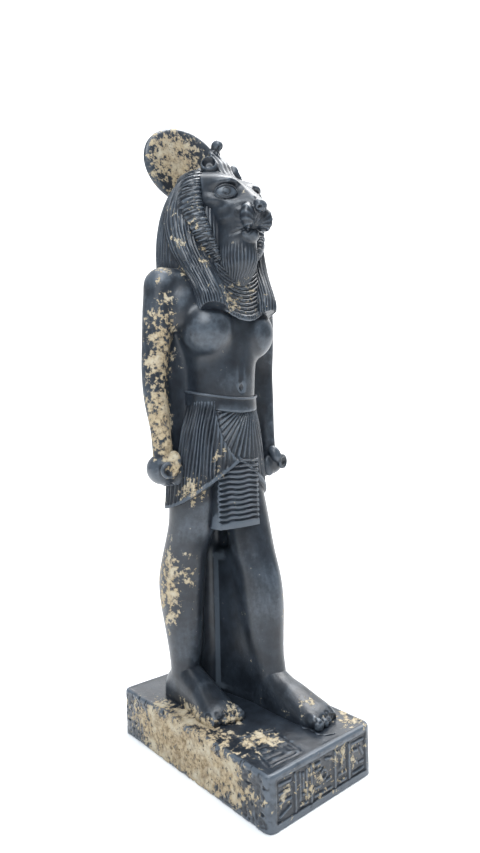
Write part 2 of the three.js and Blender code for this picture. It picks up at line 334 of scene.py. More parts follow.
def web(name, back_x, front_x, thick, y, z):
    """A slab between two limbs; its near face slants from back_x to front_x."""
    made = box(name, (back_x, y[0], z[0]), (back_x + thick, y[1], z[1]))
    for vertex in made.data.vertices:
        if vertex.co.y < (y[0] + y[1]) / 2 * MM:
            vertex.co.x += (front_x - back_x) * MM
    return made


flesh = melted("flesh", [
    limb("right_leg", RIGHT_LEG, 48, 40, ridge=0.05),
    limb("left_leg", LEFT_LEG, 48, 40, ridge=0.05),
    limb("torso", TORSO, 64, 40, squareness=0.93),
    *both(limb("arm", LEFT_ARM, 32, 30)),
    *both(ball("shoulder", (32.2, 15, 247), (10.4, 10.6, 10.4))),
    *both(ball("shoulder_slope", (25, 13.6, 247), (13, 11.4, 10.5))),
    *both(ball("upper_chest", (19, 9.4, 238), (16, 11.4, 17))),
    *both(ball("breast", (14.6, 1.4, 224.5), (13.6, 14.4, 14.6))),
    box("pillar", (-12, 24, FLOOR), (12, 40, 262)),
    web("leg_web", 2.2, 7.2, 10, (-8, 27), (FLOOR, 105.5)),
    web("knee_web", 7, 9, 6, (4, 27), (98, 150)),
    *both(box("arm_web", (16, 13.4, 148), (35.5, 20, 243))),
], voxel=1.0, rubs=44)
NAVEL = (0.6, -8.4, 194)


def dent_the_belly(points, normals):
    dent = 2.4 * hill(points, NAVEL, (1.9, 4, 2.4))
    line = 0.5 * np.exp(-(points[:, 0] / 1.6) ** 2) * (normals[:, 1] < -0.5)
    line *= np.clip((points[:, 2] - 193) / 4, 0, 1) * np.clip((216 - points[:, 2]) / 5, 0, 1)
    return points - normals * (dent + line)[:, None]


sculpt(flesh, dent_the_belly)


# The feet: bare, flat on the base, cut from the same stone, with five toes and their nails.
def foot(name, ankle_y):
    stations = [
        (ankle_y + 11.6, 15, 4, 6.5),
        (ankle_y + 9.4, 15, 6.9, 13),
        (ankle_y + 1, 15, 8.2, 22),
        (ankle_y - 7, 15.1, 8.5, 20),
        (ankle_y - 14, 15.4, 8.8, 16.4),
        (ankle_y - 21, 16, 9.3, 14),
        (ankle_y - 28, 16.8, 9.9, 10.6),
        (ankle_y - 35, 17.4, 10, 7.6),
        (ankle_y - 39, 17.5, 8.6, 5),
    ]

    def rule(T, A):
        y, x, half_width, top = np.moveaxis(through(stations, T), -1, 0)
        s = np.sin(A)
        height = np.where(s > 0, top * np.abs(s) ** 0.7, -SINK * np.sqrt(np.clip(-s, 0, 1)))
        return np.stack([x + half_width * squared(np.cos(A), 0.8), y, BASE_TOP + height], -1)

    pieces = [lay(name, 40, 30, rule)]
    for i in range(5):
        half = 2.9 if i == 0 else 2.2 - 0.12 * i
        x = 10.6 if i == 0 else 11.9 + 3.5 * i
        tip = ankle_y - 43.4 + 0.35 * i * i + 0.2 * i
        pieces.append(ball("toe", (x, tip + 7, BASE_TOP + 0.9 * half), (half, 7, 1.3 * half), segments=20))
        pieces.append(ball("toe_pad", (x, tip + 2.4, BASE_TOP + 0.75 * half), (0.98 * half, 2.4, 1.1 * half), segments=16))
    made = melted(name, pieces, voxel=0.5, rubs=4)

    def nails(points, normals):
        dent = np.zeros(len(points))
        for i in range(5):
            half = 2.9 if i == 0 else 2.2 - 0.12 * i
            x = 10.6 if i == 0 else 11.9 + 3.5 * i
            tip = ankle_y - 43.4 + 0.35 * i * i + 0.2 * i
            rim = np.linalg.norm((points - (x, tip + 2.2, BASE_TOP + 1.9 * half)) / (0.72 * half, 1.9, 2.2), axis=1)
            dent += 0.28 * np.exp(-((rim - 0.95) / 0.22) ** 2) * (normals[:, 2] > 0.2)
        return points - normals * dent[:, None]

    sculpt(made, nails)
    return made


left_foot = foot("left_foot", -7)
right_foot_unturned = foot("right_foot", 27.5)
right_foot = other_side(right_foot_unturned)
bpy.data.objects.remove(right_foot_unturned)


# The fists, each closed round the stub of a rod whose flat end shows in front.
FIST, ROD_TURN = (36.8, 12, 153), 0.27
ROD_END = (39.4, 2.2, 152.9)
deselect_all()
bpy.ops.mesh.primitive_cylinder_add(vertices=40, radius=3.4 * MM, depth=19.5 * MM, rotation=(pi / 2, 0, ROD_TURN),
                                    location=[v * MM for v in FIST])
rod = bpy.context.object
bpy.ops.object.transform_apply(location=True, rotation=True, scale=True)
bpy.ops.mesh.primitive_torus_add(major_segments=40, minor_segments=12, major_radius=3.3 * MM, minor_radius=1.15 * MM,
                                 rotation=(pi / 2, 0, ROD_TURN), location=[v * MM for v in ROD_END])
rod_ring = bpy.context.object
bpy.ops.object.transform_apply(location=True, rotation=True, scale=True)
knuckles = [ball("finger", (32.4, 6 + 3.6 * i, 150.8 - 0.4 * i), (4.2, 2.05, 6.2), segments=20) for i in range(4)]
left_fist = melted("fist", [
    ball("palm", FIST, (7.6, 10, 8.2)),
    rod,
    rod_ring,
    *knuckles,
    ball("thumb", (35, 3.8, 157.4), (3.4, 3.4, 5.4), tilt=-0.5, turn=0.4, segments=20),
], voxel=0.5, rubs=3)
fists = both(left_fist)


# The head of a lioness: a flat forehead, heavy brows over almond eyes, a broad bridge to a dark flat
# nose, two whisker pads that flare to the sides, a small chin and a short beard. The cheeks fall
# away into a deep hollow before the ruff.
FACE = {
    # height: (half x, front) from the middle to the side
    312.0: ((0, 2.6), (5, 3), (10, 6), (15, 12)),
    307.0: ((0, -2.6), (5, -2.6), (10, -1), (15, 3.4), (18.5, 8)),
    303.4: ((0, -6.8), (3.5, -8), (7, -9.8), (11, -8.8), (15, -4.6), (18.5, 1)),
    300.5: ((0, -11.4), (3, -12.8), (7, -14.4), (11, -13.4), (15, -9), (18, -3)),
    298.0: ((0, -14.8), (3, -15.6), (7, -15.6), (11, -14.6), (15, -10.4), (18, -4.2)),
    296.4: ((0, -17.4), (3, -17), (7, -13.2), (11, -12), (15, -8.6), (18, -3.8)),
    293.0: ((0, -21), (3, -20.3), (6, -14), (10, -9.6), (14, -7.2), (17, -4.6), (19, -1.6)),
    289.4: ((0, -24.4), (3, -24), (6, -19), (10, -14.4), (14, -10.4), (16.4, -6), (18.5, -1.4)),
    285.0: ((0, -25.6), (4, -24), (7, -19.2), (10, -16), (12, -13.2), (13.4, -8.6), (14.4, -2.4), (18, 3)),
    280.0: ((0, -25), (4, -23), (7, -18.8), (10, -14.6), (11.6, -10.6), (12.8, -5), (14, 0), (17.5, 4)),
    275.0: ((0, -21.4), (4, -20), (8, -15.2), (10.6, -9.6), (12.2, -3.4), (14, 2), (17, 4)),
    270.0: ((0, -18.6), (4, -17.8), (8, -13.8), (11, -7.8), (13, -2.6), (15, 2)),
    264.0: ((0, -18.6), (4, -17.8), (8, -14.2), (10.6, -8.6), (12.6, -2), (14, 2)),
    257.0: ((0, -17.6), (4, -16.9), (8, -13.4), (10.6, -7.8), (12.4, -1)),
    250.0: ((0, -12.6), (4, -11.6), (8, -7.4), (10.6, -2.4), (12.4, 2)),
    245.0: ((0, -9), (4, -8), (8, -4), (11, 1)),
}
FACE_HALF = ((244, 10), (250, 11.5), (257, 12.4), (264, 13.8), (270, 15), (276, 16.6), (284, 18.2), (300, 18.8), (307, 17), (312, 12))


def face_sheet(x, z):
    """The front of the face: a smooth sheet through the points of FACE and their mirror images."""
    given = np.array([(sx, height, y) for height, row in FACE.items() for sx, y in row], float)
    given = np.concatenate([given, given[given[:, 0] > 0] * (-1, 1, 1)])

    def pull(apart):
        squares = (apart ** 2).sum(-1)
        return squares * np.log(squares + 1e-9)

    count = len(given)
    system = np.zeros((count + 3, count + 3))
    system[:count, :count] = pull(given[:, None, :2] - given[None, :, :2])
    system[:count, count] = 1
    system[:count, count + 1:] = given[:, :2]
    system[count:, :count] = system[:count, count:].T
    weights = np.linalg.solve(system, np.append(given[:, 2], (0, 0, 0)))
    spots = np.stack([x.ravel(), z.ravel()], 1)
    y = pull(spots[:, None] - given[None, :, :2]) @ weights[:count]
    y += weights[count] + spots @ weights[count + 1:]
    return y.reshape(x.shape)


def face_rule(T, A):
    z = 244 + T * 68
    half = np.interp(z, *zip(*FACE_HALF))
    x = half * np.cos(A)
    s = np.sin(A)
    side = face_sheet(half, z)
    return np.stack([x, np.where(s < 0, face_sheet(x, z), side + 16 * s), z], -1)


head = melted("head", [
    lay("face", 140, 136, face_rule),
    *both(ball("whisker_pad", (5.5, -22.2, 279.4), (5.0, 3.7, 6.7), turn=-0.75)),
    ball("nose", (0, -26.2, 284.4), (3.9, 3.0, 3.5)),
    ball("chin", (0, -17.2, 271.6), (5.6, 4.8, 3.8)),
], voxel=0.45, rubs=5)
MOUTH = np.array((0, -22, 275.2))


def carve_the_face(points, normals):
    x, y, z = points.T
    side = np.abs(x)
    cut = np.zeros(len(points))
    front = normals[:, 1] < 0.5
    # whisker rows fan out over each pad from the mouth
    mirrored = np.stack([side, y, z], 1)
    pad = np.clip(1.3 - np.linalg.norm((mirrored - (6, -22.8, 279.2)) / (6, 6, 8), axis=1), 0, 1)
    pad = np.clip(pad * 4, 0, 1)
    angle = np.arctan2(z - MOUTH[2], side + 0.6)
    cut += 0.26 * pad * (0.5 + 0.5 * np.cos(angle * 21)) * front
    # the split between the pads and the line of the mouth
    cut += 0.8 * np.exp(-(x / 0.6) ** 2) * np.clip((281.5 - z) / 2, 0, 1) * np.clip((z - 274.0) / 2, 0, 1) * (y < -17)
    lip = 274.6 - 0.10 * side - 0.02 * side ** 2
    cut += 0.8 * np.exp(-((z - lip) / 0.8) ** 2) * np.clip((10 - side) / 4, 0, 1) * (y < -12)
    # nostrils
    cut += 1.4 * hill(mirrored, (2.3, -28.2, 282.9), (1.5, 3, 1.3))
    # strokes of the beard run down under the chin
    round_throat = np.arctan2(side, -(y + 2))
    beard = np.clip((267.5 - z) / 3, 0, 1) * (normals[:, 1] < 0.3)
    cut += 0.4 * beard * strand_depth(round_throat * 8.2, 0.1 * np.sin(z * 0.5))
    return points - normals * cut[:, None]


def strand_depth(turns, waver):
    """Rounded strands with sharp valleys between them, from 0 to 1 deep."""
    return np.abs(np.cos(pi * (turns + waver))) ** 3


sculpt(head, carve_the_face)


def eye_parts():
    """The ball of the left eye, its ring and its two lids."""
    middle, radii, turn = Vector((10.4, -11.8, 292.8)), (6.0, 2.9, 4.3), 0.59
    spin = Matrix.Rotation(turn, 3, "Z")

    def on_ball(u, v, lift=1.0):
        local = Vector((radii[0] * sin(u) * cos(v), -radii[1] * cos(u) * cos(v), radii[2] * sin(v)))
        return np.array(middle + spin @ (local * lift))

    def roll(name, line, radius):
        line = np.array(line)

        def rule(T, A):
            spot = through(line, T)
            ahead = through(line, T + 0.02) - through(line, T - 0.02)
            ahead /= np.linalg.norm(ahead, axis=-1, keepdims=True)
            out = spot - np.array(middle)
            out /= np.linalg.norm(out, axis=-1, keepdims=True)
            across = np.cross(ahead, out)
            across /= np.linalg.norm(across, axis=-1, keepdims=True)
            taper = (radius * np.clip(np.sin(pi * np.clip(T, 0.04, 0.96)), 0.25, 1) ** 0.5)[..., None]
            return spot + taper * (across * np.cos(A)[..., None] + out * np.sin(A)[..., None])

        made = lay(name, 10, 28, rule)
        return made

    reach = 1.12
    upper = [on_ball(-reach + 2 * reach * i / 8, 0.86 * sin(pi * i / 8) ** 0.7 - 0.06, 1.06) for i in range(9)]
    crease = [on_ball(-reach + 2 * reach * i / 8, 1.16 * sin(pi * i / 8) ** 0.7, 1.14) for i in range(9)]
    lower = [on_ball(-reach + 2 * reach * i / 8, -0.74 * sin(pi * i / 8) ** 0.7 - 0.06, 1.05) for i in range(9)]
    ring = [on_ball(0.3 * cos(a), 0.05 + 0.42 * sin(a), 1.03) for a in np.linspace(0.2, 2 * pi - 0.2, 12)]
    return [
        ball("eye", middle, radii, turn=turn),
        roll("upper_lid", upper, 0.62),
        roll("lid_crease", crease, 0.45),
        roll("lower_lid", lower, 0.55),
        roll("iris", ring, 0.3),
    ]


eyes = [piece for left in eye_parts() for piece in both(left)]
EAR, EAR_FACING = (8.9, 3.4, 311.4), (0.6, -0.62, 0.5)
left_ear = ball("ear", EAR, (4.7, 4.2, 5.6), turn=0.5, segments=48)


def cup_the_ear(points, normals):
    ahead = np.array(EAR_FACING) / np.linalg.norm(EAR_FACING)
    out = points - EAR
    out /= np.linalg.norm(out, axis=1, keepdims=True)
    cup = np.clip((out @ ahead - 0.62) / 0.3, 0, 1)
    return points - ahead * (4.2 * cup ** 0.7)[:, None]


sculpt(left_ear, cup_the_ear)
ears = both(left_ear)


# The ruff: a crescent of short tufts that frames each side of the face, from ear to throat.
RUFF = [
    (11, -4, 258.5, 3.4, 2.2),
    (15.4, -2.6, 264.5, 6.0, 3.4),
    (19.2, -1.4, 271.5, 7.2, 4.4),
    (21.8, 1.6, 281, 7.6, 4.6),
    (22.2, 3.6, 291, 7, 4.4),
    (20.4, 4.8, 300, 6.4, 4.2),
    (16.4, 7, 307.5, 5.2, 3.6),
]
RUFF_LOCKS, RUFF_ROWS = 26, 3


def ruff_rule(T, A):
    x, y, z, half, thick = np.moveaxis(through(RUFF, T), -1, 0)
    across = np.array((0.42, 0.9, -0.1)) / np.linalg.norm((0.42, 0.9, -0.1))
    outward = np.array((0.9, -0.42, 0)) / np.linalg.norm((0.9, -0.42, 0))
    # three rows of short locks, each lapping over the next towards the rim
    place = (A / pi) * RUFF_ROWS
    place = np.where(A > pi, (2 * pi - A) / pi * RUFF_ROWS, place)
    place = RUFF_ROWS - place + 0.24 * np.sin(T * 71) + 0.16 * np.sin(T * 143 + 1)
    row = np.floor(place)
    lap = place - row
    comb = T * RUFF_LOCKS + 0.5 * row + 0.45 * lap + 0.28 * np.sin(T * 31 + 2 * row)
    lock = 1 - np.abs(np.cos(pi * comb)) ** 2.6
    height = lock * (0.25 + 0.95 * lap ** 0.8 * np.clip((1 - lap) * 7, 0, 1)) * (0.8 + 0.2 * np.sin(T * 57 + row))
    spot = np.stack([x, y, z], -1)
    lift = 1.25 * height * np.abs(np.sin(A)) ** 0.5 - 0.7
    return (spot + across * ((half - 0.5 + 0.5 * lock) * np.cos(A))[..., None]
            - outward * ((thick + lift) * np.sin(A))[..., None])


ruffs = both(lay("ruff", 72, RUFF_LOCKS * 7, ruff_rule))


# The wig: a dome of fine strands that falls behind the shoulders, with a lappet of the same strands
# over each breast that ends in a smooth cut.
WIG_DOME = [
    (238, 0, 19, 24, 22),
    (252, 0, 18, 28.5, 25.5),
    (266, 0, 18, 29.6, 26.4),
    (280, 0, 17.5, 28.8, 26),
    (292, 0, 17, 26, 24),
    (302, 0, 17, 21, 20.5),
    (310, 0, 16, 14, 14.5),
    (316, 0, 15, 5, 5),
]
WIG_STRANDS = 88


def strand_change(T, turns):
    """How much deeper or shallower each strand's valley is along its way."""
    return 0.75 + 0.25 * np.sin(5 * T + 2.7 * np.floor(turns)) + 0.2 * np.sin(23 * T + 1.3 * np.floor(turns))


def wig_rule(T, A):
    z, x, y, rx, ry = np.moveaxis(through(WIG_DOME, T), -1, 0)
    turns = A / (2 * pi) * WIG_STRANDS
    depth = 0.62 * strand_depth(turns, 0.3 * np.sin(9 * T + turns * 0.7)) * strand_change(T, turns)
    depth *= np.clip(rx / 14, 0.2, 1)
    return np.stack([x + (rx - depth) * np.cos(A), y + (ry - depth) * np.sin(A), z], -1)


wig = lay("wig", WIG_STRANDS * 5, 60, wig_rule)

LAPPET = [
    (232.6, 17.0, -7.6, 6.6, 6.2),
    (234.2, 17.0, -7.6, 7.6, 7.2),
    (241, 17.4, -6.4, 7.9, 7.6),
    (248, 18.0, -3.0, 8.1, 8.0),
    (257, 19.4, 2.6, 8.4, 9.0),
    (267, 21.4, 8.0, 8.2, 10.4),
    (278, 22.0, 11.6, 7.6, 11.6),
    (289, 20.4, 13.6, 6.8, 11.4),
    (299, 17.0, 14.6, 5.4, 9.4),
    (306, 12.4, 15, 3.0, 6),
]
LAPPET_STRANDS, LAPPET_CUT, LAPPET_RISE = 30, 0.5, 0.26


def lappet_rule(T, A):
    z, x, y, rx, ry = np.moveaxis(through(LAPPET, T), -1, 0)
    turns = A / (2 * pi) * LAPPET_STRANDS
    depth = 0.62 * strand_depth(turns, 0.2 * np.sin(14 * T)) * strand_change(T, turns) * np.clip((T - 0.015) / 0.03, 0, 1)
    skin_x = (rx - depth) * squared(np.cos(A), 0.85)
    skin_y = (ry - depth) * squared(np.sin(A), 0.85)
    tilt = np.clip(1 - T / 0.25, 0, 1)
    return np.stack([x + skin_x, y + skin_y, z + tilt * (LAPPET_RISE * skin_x - LAPPET_CUT * skin_y)], -1)


lappets = both(lay("lappet", LAPPET_STRANDS * 5, 74, lappet_rule))


# The collar on the chest between the lappets: level rows of beads over a last row of drops.
COLLAR_BOTTOM, COLLAR_DROP, COLLAR_ROW, COLLAR_TOP = 228.4, 3.6, 2.15, 252.0


def collar_rule(T, A):
    rise = T * (COLLAR_TOP - COLLAR_BOTTOM)
    x = 14.0 * squared(np.cos(A), 0.6)
    z = COLLAR_BOTTOM + rise + 0.03 * x ** 2 + 0.12 * np.sin(x * 1.7 + rise)
    row = (rise - COLLAR_DROP) / COLLAR_ROW
    drops = rise < COLLAR_DROP
    within = np.where(drops, rise / COLLAR_DROP, row - np.floor(row))
    bead = np.abs(np.sin(pi * (x + 0.35 * np.floor(row)) / 1.45)) ** 0.7
    relief = 0.95 * np.clip(np.sin(pi * np.clip(within, 0, 0.92) / 0.92), 0, 1) ** 0.6
    relief = np.where(drops, relief * (0.35 + 0.65 * bead) + 0.5, relief * (0.75 + 0.25 * bead))
    front = -13.0 + 0.17 * rise + 0.014 * x ** 2
    s = np.sin(A)
    y = np.where(s < 0, (front - relief) * np.clip(-s * 4, 0, 1) ** 0.5, 2 * s)
    return np.stack([x, y, z], -1)


collar = lay("collar", 200, 120, collar_rule)


# The kilt: fine upright pleats wrapped from her right, its edge curving across the front over a
# second panel whose pleats fan out from under the belt. The hem is thick and climbs to the middle.
KILT = [(30.4, -6.5, 34), (28.6, -7, 34), (25.6, -7.4, 33.4), (21.2, -7.2, 31)]
KILT_TOP, KILT_PLEATS = 187, 66
FAN = (9.2, 187.0)
WRAP_EDGE = [(181, -14.4), (174, -13.4), (167, -11.2), (160, -5.6), (155, -0.6)]


def kilt_rule(T, A):
    half_width, front, back = np.moveaxis(through(KILT, T), -1, 0)
    c, s = np.cos(A), np.sin(A)
    x = half_width * squared(c, 0.8)
    y = (front + back) / 2 + (back - front) / 2 * squared(s, 0.8)
    hem = 155.3 - 0.575 * np.abs(x) - 0.28 * (y + 5)
    z = hem + T * (KILT_TOP - hem)
    edge = np.interp(z, [e[0] for e in WRAP_EDGE[::-1]], [e[1] for e in WRAP_EDGE[::-1]])
    under = (x > edge) & (s < 0.3)
    sheer = np.clip((x - edge) / 0.5, 0, 1) * (s < 0)
    turns = A / (2 * pi) * KILT_PLEATS
    upright = 0.85 * strand_depth(turns, 0.14 * np.sin(7 * T + turns)) * (0.8 + 0.3 * np.sin(1.9 * np.floor(turns) + 4 * T))
    spread = np.arctan2(x - FAN[0], FAN[1] + 3 - z)
    fan = 1.05 * strand_depth(spread * 8.6, 0)
    fan = np.where(x > 20, upright, fan)
    depth = np.where(under, fan, upright) + 1.0 * sheer
    hem += 0.25 * np.sin(x * 1.1) + 0.15 * np.sin(x * 2.7)
    rim = np.clip(3 - (z - hem) / 0.8, 0, 1)
    depth = depth * (1 - rim) + (0.9 * sheer - 0.3) * rim
    return np.stack([x - depth * c, y - depth * s, z], -1)


kilt = lay("kilt", 528, 56, kilt_rule)


# The belt: a plain flat band with a narrow rim, lower in front than at the sides.
BELT = [(181.0, 20.4), (181.3, 21.2), (182.2, 21.5), (187.4, 21.3), (188.0, 21.8), (188.9, 21.8), (189.3, 20.6)]


def belt_rule(T, A):
    z, reach = np.moveaxis(through(BELT, T), -1, 0)
    return np.stack([
        reach * squared(np.cos(A), 0.93),
        11.8 + (reach - 1.6) * squared(np.sin(A), 0.93),
        z + 4.2 * np.clip(1 + np.sin(A), 0, 1) ** 0.8,
    ], -1)


belt = lay("belt", 128, 24, belt_rule)


# The stiff tab that hangs under the middle of the hem, with level pleats and a plain last band.
TAB_FOLDS, TAB_BOTTOM, TAB_TOP = 13.5, 120.5, 157.0


def tab_rule(T, A):
    c, s = np.cos(A), np.sin(A)
    x = 0.2 + 13.8 * squared(c, 0.3)
    z = TAB_BOTTOM + T * (TAB_TOP - TAB_BOTTOM)
    fold = T * TAB_FOLDS + 0.1 * np.sin(x * 0.5 + 3 * T)
    groove = np.abs(np.cos(pi * (fold - 0.5))) ** 3 * (fold > 0.9)
    lap = np.where(s < 0, 1.0, 0.0) * groove * 1.3
    y = np.where(s < 0, -6.2 + 0.006 * x ** 2 + lap, 12) * np.clip(np.abs(s) * 6, 0, 1) ** 0.4
    y = np.where(np.abs(s) < 1e-6, 1.0, y)
    return np.stack([x, y, z], -1)


tab = lay("tab", 96, 162, tab_rule)


# The sun disc on the back of the crown, with a softly rounded rim, and the cobra that rears before
# it: a small head over a hood that lies down the forehead.
DISC_MIDDLE, DISC_HALF = 324.3, (28.2, 21.5)
DISC_FACE = [(34.2, 0.0), (34.2, 0.5), (34.3, 0.86), (34.9, 0.955), (36.2, 0.995), (37.6, 0.99), (38.8, 0.94), (39.2, 0.8), (39.2, 0.0)]


def disc_rule(T, A):
    y, reach = np.moveaxis(through(DISC_FACE, np.clip(T, 0.004, 0.996)), -1, 0)
    reach = np.maximum(reach, 0.01)
    return np.stack([
        -DISC_HALF[0] * reach * np.cos(A),
        y,
        DISC_MIDDLE + DISC_HALF[1] * reach * np.sin(A),
    ], -1)


disc = lay("disc", 120, 48, disc_rule)
HOOD = [
    (303.5, -4.2, 5.0),
    (309, -0.2, 5.2),
    (314, 2.4, 5.2),
    (318.5, 6.2, 4.8),
    (323, 10.6, 3.6),
]


def hood_rule(T, A):
    z, y, half = np.moveaxis(through(HOOD, T), -1, 0)
    lean = np.array((0, 0.74, -0.67))
    spot = np.stack([half * squared(np.cos(A), 0.7), y, z], -1)
    return spot + lean * (1.9 * squared(np.sin(A), 0.7))[..., None]


crown = melted("crown", [
    ball("crown_stub", (0, 26, 309), (13, 13, 9)),
    ball("cobra_head", (0, 7.4, 326.6), (2.9, 4.0, 3.0), tilt=0.25),
    ball("cobra_neck", (0, 10, 322.6), (3.1, 3.4, 4.4)),
    lay("cobra_hood", 48, 30, hood_rule),
], voxel=0.45, rubs=3)


def strokes_of_the_hood(points, normals):
    ridge = strand_depth(points[:, 0] / 2.9 + 0.5, 0)
    reach = hill(points, (0, 0, 313), (8, 14, 14)) > 0.02
    return points - normals * (0.6 * ridge * reach * (normals[:, 1] < -0.2))[:, None]


sculpt(crown, strokes_of_the_hood)


# The base: an oblong block with rounded corners. Its front holds a sunk panel and its top a fainter
# one, with rows of short strokes in place of the inscription. Its near side is rough and pitted.
BASE_HALF, BASE_CORNER = (35.5, 60.8), 4.4
FRONT_STEPS, FAR_STEPS, BACK_STEPS, NEAR_STEPS, CORNER_STEPS = 176, 60, 30, 150, 8


def base_outline():
    """Points and outward directions round the block."""
    flat_x, flat_y = BASE_HALF[0] - BASE_CORNER, BASE_HALF[1] - BASE_CORNER
    spots, outs = [], []
    for side, steps in enumerate((FRONT_STEPS, FAR_STEPS, BACK_STEPS, NEAR_STEPS)):
        out = np.array(((0, -1), (1, 0), (0, 1), (-1, 0))[side])
        along = np.array((-out[1], out[0]))
        reach = flat_x if side % 2 == 0 else flat_y
        outer = BASE_HALF[1] if side % 2 == 0 else BASE_HALF[0]
        for i in range(steps):
            spots.append(out * outer + along * reach * (2 * i / steps - 1))
            outs.append(out)
        corner = out * (outer - BASE_CORNER) + along * reach
        for i in range(CORNER_STEPS):
            turn = pi / 2 * i / CORNER_STEPS
            way = out * cos(turn) + along * sin(turn)
            spots.append(corner + way * BASE_CORNER)
            outs.append(way)
    return np.array(spots), np.array(outs)


def strokes(x, z, lines, half):
    """1 on any of the lines (x, z to x, z), falling to 0 at its edges."""
    best = np.zeros(x.shape)
    for x0, z0, x1, z1 in lines:
        dx, dz = x1 - x0, z1 - z0
        t = np.clip(((x - x0) * dx + (z - z0) * dz) / (dx * dx + dz * dz), 0, 1)
        best = np.maximum(best, np.clip(1.6 - np.hypot(x - x0 - t * dx, z - z0 - t * dz) / half, 0, 1))
    return best


FRONT_LINES = [
    # left block: three level bars over a slanting one
    (-28.5, 19.5, -21.5, 19.2), (-28.5, 15.6, -22, 15.2), (-28.4, 11.6, -21.6, 11.4), (-28.2, 5.8, -21.8, 8.0),
    (-18.8, 20.2, -18.8, 4.2),
    # upright pairs with short bars between
    (-15.8, 19.6, -15.8, 8), (-11.6, 19.4, -11.6, 8), (-15.6, 5.4, -11.4, 5.2), (-13.7, 18.6, -13.7, 12.6),
    (-13.9, 9.4, -13.4, 9.4), (-8.6, 20.2, -8.6, 4.2),
    # short level strokes in two rows
    (-6, 19.4, -2.6, 19.4), (-5.8, 16.4, -2.4, 16.6), (1.4, 19.6, 5.2, 18.6), (-6, 5.4, 5.0, 5.0), (1.6, 9.6, 4.8, 9.8),
    (-6, 9.0, -2.8, 8.6),
    (7.8, 20.2, 7.8, 4.2),
    # slanting strokes
    (10.4, 19.4, 13.8, 14.6), (14.8, 19.6, 11.6, 11.8), (10.6, 8.6, 15.4, 8.4), (10.8, 5.0, 15.2, 5.2),
    (18, 20.2, 18, 4.2),
    (20.6, 19.4, 28.6, 19.2), (20.8, 15.8, 24, 15.6), (26.2, 16.0, 28.4, 12.2), (21, 12, 23.8, 9), (20.8, 5.2, 28.6, 5.4),
    (26, 8.8, 28.4, 8.6),
]
FRAME_LINES = [(-30.8, 2.8, 30.8, 2.8), (-30.8, 22.4, 30.8, 22.4), (-30.8, 2.8, -30.8, 22.4), (30.8, 2.8, 30.8, 22.4)]
RING, RING_RADIUS = (-0.4, 13.2), 2.1


def lumps(points, scale, seed):
    """Soft random lumps from -1 to 1 at points in millimetres."""
    shift = Vector((seed * 7.3, seed * 3.1, seed * 5.7))
    return np.array([noise.noise(Vector(p) / scale + shift) for p in points.reshape(-1, 3)]).reshape(points.shape[:-1])


outline, outline_out = base_outline()
BASE_PROFILE = [(0.9, 0.0), (0.25, 0.25), (0.0, 0.9)]
BASE_PROFILE += [(0.0, 1.4 + 22.2 * i / 40) for i in range(41)]
BASE_PROFILE += [(0.12, 24.2), (0.47, 24.73), (1.0, 25.08), (1.8, 25.2), (2.6, 25.2), (3.4, 24.4)]


def base_rule(T, A):
    j = np.rint(A / (2 * pi) * len(outline)).astype(int) % len(outline)
    inset, z = np.moveaxis(np.array(BASE_PROFILE)[np.rint(T * (len(BASE_PROFILE) - 1)).astype(int)], -1, 0)
    spot, out = outline[j], outline_out[j]
    points = np.stack([spot[..., 0], spot[..., 1], z], -1)
    x = spot[..., 0]
    on_front = (out[..., 1] < -0.999) * np.clip((30.8 - np.abs(x)) / 0.5, 0, 1)
    raised = np.maximum(strokes(x, z, FRONT_LINES, 0.62), strokes(x, z, FRAME_LINES, 0.5))
    ring = np.clip(1.6 - np.abs(np.hypot(x - RING[0], z - RING[1]) - RING_RADIUS) / 0.6, 0, 1)
    raised = np.maximum(raised, ring)
    panel = np.clip((z - 2.8) / 0.5, 0, 1) * np.clip((22.4 - z) / 0.5, 0, 1) * on_front
    sunk = 0.95 * panel * (1 - np.clip(raised, 0, 1)) * (0.85 + 0.25 * lumps(points, 2.2, 1))
    rough = np.clip(-out[..., 0], 0, 1) ** 4 * np.clip((1.9 - inset) / 0.5, 0, 1)
    coarse = lumps(points, 5.5, 2)
    pits = np.clip(lumps(points, 1.7, 3) - 0.12, 0, 1)
    sunk += rough * (0.35 + 0.45 * coarse + 1.5 * pits)
    sunk += 0.12 * (1 + lumps(points, 3.0, 4)) * (inset < 2)
    where = spot - out * (inset + sunk)[..., None]
    return np.stack([where[..., 0], where[..., 1], z], -1)


base = lay("base", len(outline), len(BASE_PROFILE) - 1, base_rule)
TOP_LINES = [
    (-19, -32, -9, -34.4), (-20, -36, -16, -36.8), (-13.6, -37.2, -8.6, -38.2), (-22, -40.4, -18, -41.2),
    (-15.4, -41.2, -15.8, -45.4), (-12.4, -42, -8.8, -42.6), (-23, -44.8, -19, -45.6), (-12.6, -46, -13, -50),
    (-24.6, -49, -16.8, -49.8), (-10.4, -46.4, -10.2, -50.6), (-25.6, -53, -12.4, -53.6),
]
TOP_FRAME = [(-21.6, -28.6, -5.8, -32.8), (-5.8, -32.8, -9.4, -56), (-9.4, -56, -29, -55), (-29, -55, -21.6, -28.6)]
top_x = np.linspace(-33.3, 33.3, 92)
top_y = np.concatenate([np.linspace(-58.6, -27, 62), np.linspace(-25, 58.6, 46)])


